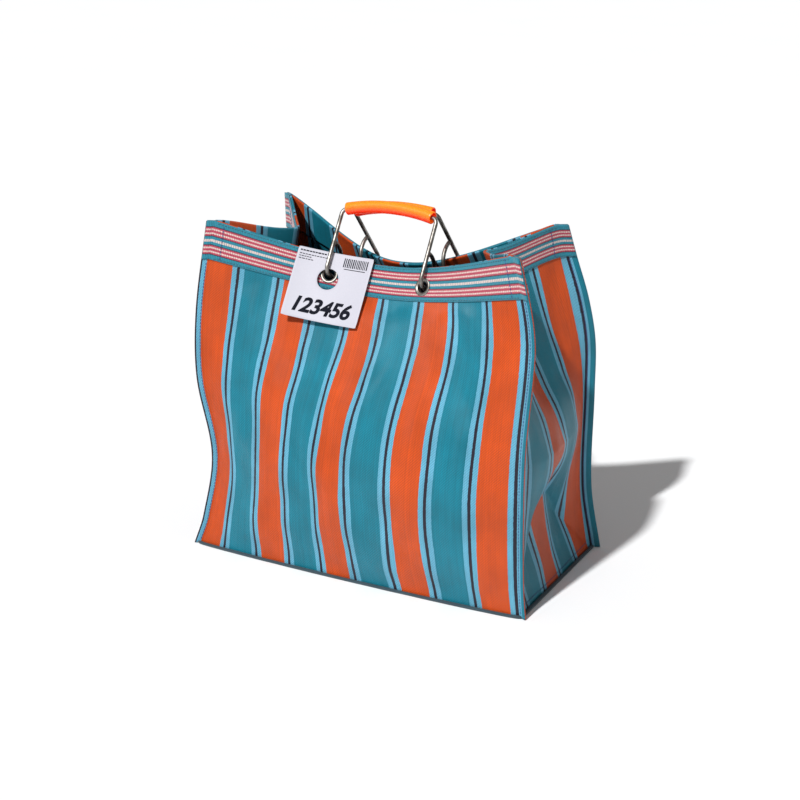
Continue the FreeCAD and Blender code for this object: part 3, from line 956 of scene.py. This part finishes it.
def base_binding(side):
    """A rounded, bound seam that runs along the foot of one panel."""
    panel = PANELS[side]
    rings = []
    for x in spread(-BINDING_PAST, panel.width + BINDING_PAST, 120):
        held = min(max(x, 0.0), panel.width)
        normal = panel.normal(held, 0)
        normal = Vector((normal.x, normal.y, 0)).normalized()
        along = Vector((-normal.y, normal.x, 0)) * panel.sign
        point = panel.surface(held / panel.width, 0) + along * (x - held)
        point.z = BINDING_MIDDLE[1]
        out = BINDING_MIDDLE[0] + BINDING_WANDER * noise(Vector((x / 18, panel.seed, 0)))
        ring = []
        for turn in turns(12):
            wide, tall = squared(cos(turn), BINDING_HALF[0]), squared(sin(turn), BINDING_HALF[1])
            ring.append(point + normal * (out + wide) + Vector((0, 0, tall)))
        rings.append(ring)
    return lofted(side + "_base_binding", [rings], WELT)


# ---- eyelets ----
def turned_ring(name, centre, axis, profile):
    """A steel ring turned from a closed profile of (radius, height along the axis)."""
    side = axis.orthogonal().normalized()
    other = axis.cross(side)
    rings = []
    for turn in turns(48):
        out = side * cos(turn) + other * sin(turn)
        rings.append([centre + out * radius + axis * height for radius, height in profile])
    return closed_ring(name, rings, EYELET_STEEL)


BARREL_WALL = 0.6
BARREL_FOOT = -1.6  # the barrel reaches this far in from the cloth's middle
FLANGE_RISE = 1.25
WASHER_EDGE = 1.2  # width and height of the washer's rounded edges
WASHER_RISE = 0.8


def flange_profile():
    """The outer half: a rolled flange on the tape and a barrel through the cloth."""
    low = TAPE_FACE - 0.1
    start, wall = EYELET_BORE + 0.45, EYELET_BORE + BARREL_WALL
    crown = [(start + (EYELET_RADIUS - start) * (1 - cos(a)) / 2, low + FLANGE_RISE * sin(a) ** 0.8)
             for a in spread(0.35, pi, 12)]
    lip = [(EYELET_BORE, BARREL_FOOT), (EYELET_BORE, low + 0.35), (EYELET_BORE + 0.12, low + 0.62)]
    return lip + crown + [(EYELET_RADIUS - 0.5, low - 0.1), (wall, low - 0.1), (wall, BARREL_FOOT)]


def washer_profile():
    """The inner half: a ring with rounded edges under the turned hem."""
    top = -2 * HEM_RADIUS - CLOTH / 2 + 0.1
    low = top - 0.3
    quarter = spread(0.1, pi / 2, 5)
    outer = [(EYELET_RADIUS - WASHER_EDGE * (1 - cos(a)), low - WASHER_RISE * sin(a)) for a in quarter]
    inner = [(EYELET_BORE + WASHER_EDGE - 1.1 * sin(a), low - WASHER_RISE * cos(a)) for a in quarter]
    return [(EYELET_BORE + 0.2, top), (EYELET_RADIUS - 0.3, top)] + outer + inner


def eyelet(handle, k, word):
    panel = handle.panel
    x = handle.places[k] * panel.width
    normal, centre = panel.normal(x, handle.height), panel.point(x, handle.height)
    outer = turned_ring(word + "_eyelet_flange", centre, normal, flange_profile())
    inner = turned_ring(word + "_eyelet_washer", centre, normal, washer_profile())
    return outer, inner


# ---- wires and grips ----
def arc(centre, u, v, radius, low, high, count):
    centre = Vector(centre)
    return [centre + (u * cos(a) + v * sin(a)) * radius for a in spread(low, high, count)]


def crown_geometry():
    """Shoulder height, crown radius and the x where the shoulder bend runs into the crown."""
    angle = radians(CROWN_ANGLE)
    end_x = LEG_SPACING / 2 - SHOULDER_BEND * (1 - sin(angle))
    radius = end_x / sin(angle)
    rise = SHOULDER_BEND * cos(angle) + radius * (1 - cos(angle))
    return LEG_LENGTH - rise, radius, end_x


X, OUT, UP = Vector((1, 0, 0)), Vector((0, 1, 0)), Vector((0, 0, 1))


def half_wire():
    """Centre line of the right half, in the handle's own axes (x, out, up), from loop tip to crown."""
    x = LEG_SPACING / 2
    tip_out = LEG_OFFSET - WIRE / 2 - 0.3
    reach = tip_out + LOOP_DEPTH
    radius = (reach**2 + (LOOP_CLOSE - LOOP_RISE) ** 2) / (2 * reach)
    hub_out = radius - LOOP_DEPTH
    closing = atan2(LOOP_CLOSE - LOOP_RISE, tip_out - hub_out)
    quarter, slant = pi / 2, radians(CROWN_ANGLE)
    base, crown, _ = crown_geometry()
    line = arc((x, hub_out, LOOP_RISE), OUT, UP, radius, closing, pi, 24)
    line += arc((x, LEG_BEND - LOOP_DEPTH, LEG_BEND), OUT, UP, LEG_BEND, pi, 3 * quarter, 10)
    line += arc((x, LEG_OFFSET - LEG_BEND, LEG_BEND), OUT, UP, LEG_BEND, -quarter, 0, 10)
    line += [Vector((x, LEG_OFFSET, z)) for z in spread(LEG_BEND, base, 12)[1:-1]]
    line += arc((x - SHOULDER_BEND, LEG_OFFSET, base), X, UP, SHOULDER_BEND, 0, quarter - slant, 10)
    line += arc((0, LEG_OFFSET, LEG_LENGTH - crown), X, UP, crown, quarter - slant, quarter, 12)[1:]
    return line


def swept(line, radius, count):
    """Rings of a round body along a line, with domed ends."""
    side = (line[1] - line[0]).orthogonal().normalized()
    rings = []
    for k, point in enumerate(line):
        ahead = (line[min(k + 1, len(line) - 1)] - line[max(k - 1, 0)]).normalized()
        side = (side - ahead * side.dot(ahead)).normalized()
        other = ahead.cross(side)
        angles = {0: (-1.25, -0.7, 0), len(line) - 1: (0, 0.7, 1.25)}.get(k, (0,))
        for a in angles:
            centre = point + ahead * radius * 0.6 * sin(a)
            rings.append(circle(centre, side, other, radius * cos(a), count))
    return rings


def wire(word, handle):
    right = half_wire()
    left = [Vector((-p.x, p.y, p.z)) for p in right]
    line = [handle.point(*p) for p in left + right[-2::-1]]
    return lofted(word + "_bent_wire", [swept(line, WIRE / 2, 20)], STEEL)


GRIP_LIP = 0.5  # length over which the tube's ends are rounded


def grip(word, handle):
    """A plastic tube along the crown, open at both ends, with rounded lips."""
    _, crown, end_x = crown_geometry()
    hub = Vector((0, LEG_OFFSET, LEG_LENGTH - crown))
    wall = GRIP_RADIUS - GRIP_BORE
    end = crown * asin(end_x / crown)
    lip = [end, end - 0.15, end - GRIP_LIP]
    stations = [-s for s in lip] + spread(2 - end, end - 2, 40) + lip[::-1]

    def ring(s, radius):
        turn = pi / 2 - s / crown
        radial = X * cos(turn) + UP * sin(turn)
        swell = 1 + 0.012 * noise(Vector((s / 22, LEG_LENGTH, 0.4)))
        return [handle.point(*p) for p in circle(hub + radial * crown, radial, OUT, radius * swell, 28)]

    outer, inner = [], []
    for s in stations:
        share = min((end - abs(s)) / GRIP_LIP, 1)
        round_off = wall / 2 * (1 - sqrt(1 - (1 - share) ** 2))
        outer.append(ring(s, GRIP_RADIUS - round_off))
        inner.append(ring(s, GRIP_BORE + round_off))
    return closed_ring(word + "_grip_tube", outer + inner[::-1], GRIP)


# ---- hang tag ----
class Card:
    """The tag's own axes: a across it, b up it, out of it; its face is bowed about an upright line."""

    def __init__(self):
        handle = HANDLES["front"]
        yaw = radians(TAG_YAW)
        self.across = handle.x * cos(yaw) - handle.out * sin(yaw)
        self.normal = handle.out * cos(yaw) + handle.x * sin(yaw)
        self.up = handle.up
        self.origin = handle.point(-LEG_SPACING / 2 + TAG_SHIFT, 0, -TAG_DROP) + self.normal * TAG_STANDOFF

    def point(self, a, b, out=0.0):
        bow = a**2 / (2 * TAG_BOW)
        return self.origin + self.across * a + self.up * b + self.normal * (bow + out)


CARD_EDGES = ((-TAG_LEFT, TAG_WIDTH - TAG_LEFT), (TAG_TOP - TAG_HEIGHT, TAG_TOP))  # across and up


def card_mesh(card):
    """The card as rings between its punched hole and its outline, front and back."""
    around, across = 120, 14
    ways = [Vector((cos(turn), sin(turn))) for turn in turns(around)]
    reaches = []
    for way in ways:
        sides = [edges[part > 0] / part for part, edges in zip(way, CARD_EDGES) if abs(part) > 1e-6]
        reaches.append(min(sides))
    loops = []
    for share in spread(0, 1, across):
        loops.append([way * (TAG_HOLE + (reach - TAG_HOLE) * share) for way, reach in zip(ways, reaches)])
    outline = loops[-1]
    for x in CARD_EDGES[0]:
        for y in CARD_EDGES[1]:
            target = Vector((x, y))
            nearest = min(range(around), key=lambda k: (outline[k] - target).length)
            outline[nearest] = target - Vector((copysign(0.36, x), copysign(0.36, y)))
    flat = [tuple(q) for loop in loops for q in loop]
    made = new_object("hang_tag_card", [card.point(*q) for q in flat], band_faces(0, across + 1, around),
                      CARD, flat)
    thick = made.modifiers.new("thickness", "SOLIDIFY")
    thick.thickness = TAG * MM
    thick.offset = 0
    soften = made.modifiers.new("edge", "BEVEL")
    soften.width = 0.1 * MM
    soften.segments = 2
    soften.limit_method = "ANGLE"
    return made


def printed_marks():
    """Generic print, no words: rows of short dashes, upright bars and a rule, each (a, b, width, height)."""
    marks = []
    margin = 2.5 - TAG_LEFT
    for b, length, height in ((23.0, 24.0, 1.3), (19.8, 26.0, 0.8), (17.4, 12.0, 0.8), (15.0, 14.0, 0.8)):
        a = margin
        while a < margin + length:
            width = 1.6 + 2.2 * abs(noise(Vector((a, b, 4.4))))
            marks.append((a, b, width, height))
            a += width + 0.7
    a = 11.5
    while a < TAG_WIDTH - TAG_LEFT - 4:
        width = 0.7 + 1.3 * abs(noise(Vector((a * 1.7, 8.8, 2.1))))
        marks.append((a, 14.5, width, 9.0))
        a += width + 0.8 + 0.6 * abs(noise(Vector((a, 1.3, 7.7))))
    marks.append((13.0, 12.4, 22.0, 0.7))
    return marks


def digits():
    """A placeholder number, drawn by Blender's own font as flat polygons."""
    text = bpy.data.curves.new("placeholder_number", "FONT")
    text.body = "123456"
    text.size = 20.5
    text.shear = 0.25
    text.resolution_u = 6
    text.offset = 0.7
    text.space_character = 0.98
    holder = bpy.data.objects.new("placeholder_number", text)
    bpy.context.collection.objects.link(holder)
    mesh = bpy.data.meshes.new_from_object(holder)
    bpy.data.objects.remove(holder)
    return mesh


PRINT_LIFT = TAG / 2 + 0.12
DIGITS_FOOT = (-30.0, -36.0)


def tag_print(card):
    """All the print, a hair over the card's face."""
    points, faces = [], []
    for a, b, width, height in printed_marks():
        steps = max(1, round(width / 1.5))
        start = len(points)
        for x in spread(a, a + width, steps):
            points += [card.point(x, b, PRINT_LIFT), card.point(x, b + height, PRINT_LIFT)]
        faces += [(k, k + 2, k + 3, k + 1) for k in range(start, start + 2 * steps, 2)]
    number = digits()
    start = len(points)
    for vertex in number.vertices:
        points.append(card.point(vertex.co.x + DIGITS_FOOT[0], vertex.co.y + DIGITS_FOOT[1], PRINT_LIFT))
    faces += [tuple(start + k for k in face.vertices) for face in number.polygons]
    return new_object("hang_tag_print", points, faces, INK)


# ---- putting the bag together ----
def dress_side(side):
    panel = PANELS[side]
    kind = "panel" if side in ("front", "back") else "gusset"
    cloth = stands_for(side_cloth(side), "bag", "striped_cloth", side + "_" + kind)
    hem = stands_for(turned_hem(side), "bag", "striped_cloth")
    tape = stands_for(hem_tape(side), "bag", "hem_tape", side + "_tape")
    edges = stands_for(tape_stitching(side), "bag", "seam_cloth")
    ends = stands_for(end_stitching(side), "bag", "seam_cloth")
    stands_for(base_binding(side), "bag", "seam_cloth", side + "_base_welt")
    flat_width = panel.flat_width() * MM
    tape_width = (panel.flat_width() - 2 * TAPE_SHORT) * MM


def make_bag():
    base = stands_for(bottom_cloth(), "bag", "base_cloth", "bottom_panel")
    for side in PANELS:
        dress_side(side)
    for name in CORNERS:
        stands_for(seam_stitching(name), "bag", "seam_cloth", name + "_seam")


def make_handle(word):
    handle = HANDLES[word]
    body = word + "_handle"
    stands_for(wire(word, handle), body, "wire_steel", word + "_wire")
    stands_for(grip(word, handle), body, "grip_plastic", word + "_grip")
    for k, hand in enumerate(("left", "right")):
        outer, inner = eyelet(handle, k, word + "_" + hand)
        stands_for(outer, "bag", "eyelet_metal", word + "_" + hand + "_eyelet")
        stands_for(inner, "bag", "eyelet_metal", word + "_" + hand + "_washer")


def make_tag():
    card = Card()
    stands_for(card_mesh(card), "tag", "tag_card", "hang_tag")
    stands_for(tag_print(card), "tag", "tag_card")


# ---- stage, light and camera ----
VIEW = Vector((0.4608, -0.8313, 0.3107))
TARGET = Vector((0.0036, 0.0, 0.158))
DISTANCE = 1.595
LENS = 72.0
KEY_DIRECTION = Vector((-0.05, -0.70, 0.715))
KEY_STRENGTH = 3.7
KEY_ANGLE = 2.4
KEY_COLOUR = (1.0, 0.992, 0.98)
SKY_STRENGTH = 0.27
SKY_COLOUR = (1.0, 0.978, 0.96, 1.0)
WHITE = (1.0, 1.0, 1.0, 1.0)
SENSOR = 36.0
FLOOR_HALF = 30000.0
FLOOR_HEIGHT = -0.05


def make_floor():
    corners = [Vector((x * FLOOR_HALF, y * FLOOR_HALF, FLOOR_HEIGHT)) for x, y in
               ((-1, -1), (1, -1), (1, 1), (-1, 1))]
    new_object("floor", corners, [(0, 1, 2, 3)], floor_material("floor_paper"))


def aim(holder, place, target):
    holder.location = place
    holder.rotation_euler = (target - place).to_track_quat("-Z", "Y").to_euler()
    bpy.context.collection.objects.link(holder)


def make_light():
    """A soft sun from the front and an even pale studio round it, seen by the camera as plain white."""
    lamp = bpy.data.lights.new("key", "SUN")
    lamp.energy, lamp.angle, lamp.color = KEY_STRENGTH, radians(KEY_ANGLE), KEY_COLOUR
    aim(bpy.data.objects.new("key", lamp), TARGET + KEY_DIRECTION * 2, TARGET)
    world = bpy.data.worlds.new("studio")
    bpy.context.scene.world = world
    world.use_nodes = True
    tree = world.node_tree
    mixer = tree.nodes.new("ShaderNodeMixShader")
    path = tree.nodes.new("ShaderNodeLightPath")
    tree.links.new(path.outputs["Is Camera Ray"], mixer.inputs[0])
    dim, bright = tree.nodes["Background"], tree.nodes.new("ShaderNodeBackground")
    for slot, background, colour, strength in ((1, dim, SKY_COLOUR, SKY_STRENGTH), (2, bright, WHITE, 1.0)):
        background.inputs["Color"].default_value = colour
        background.inputs["Strength"].default_value = strength
        tree.links.new(background.outputs[0], mixer.inputs[slot])
    tree.links.new(mixer.outputs[0], tree.nodes["World Output"].inputs["Surface"])
    bpy.context.scene.view_settings.view_transform = "Standard"


def make_camera():
    data = bpy.data.cameras.new("camera")
    data.lens, data.sensor_width = LENS, SENSOR
    holder = bpy.data.objects.new("camera", data)
    aim(holder, TARGET + VIEW.normalized() * DISTANCE, TARGET)
    bpy.context.scene.camera = holder


make_camera()
make_floor()
make_light()
make_bag()
make_handle("front")
make_handle("rear")
make_tag()
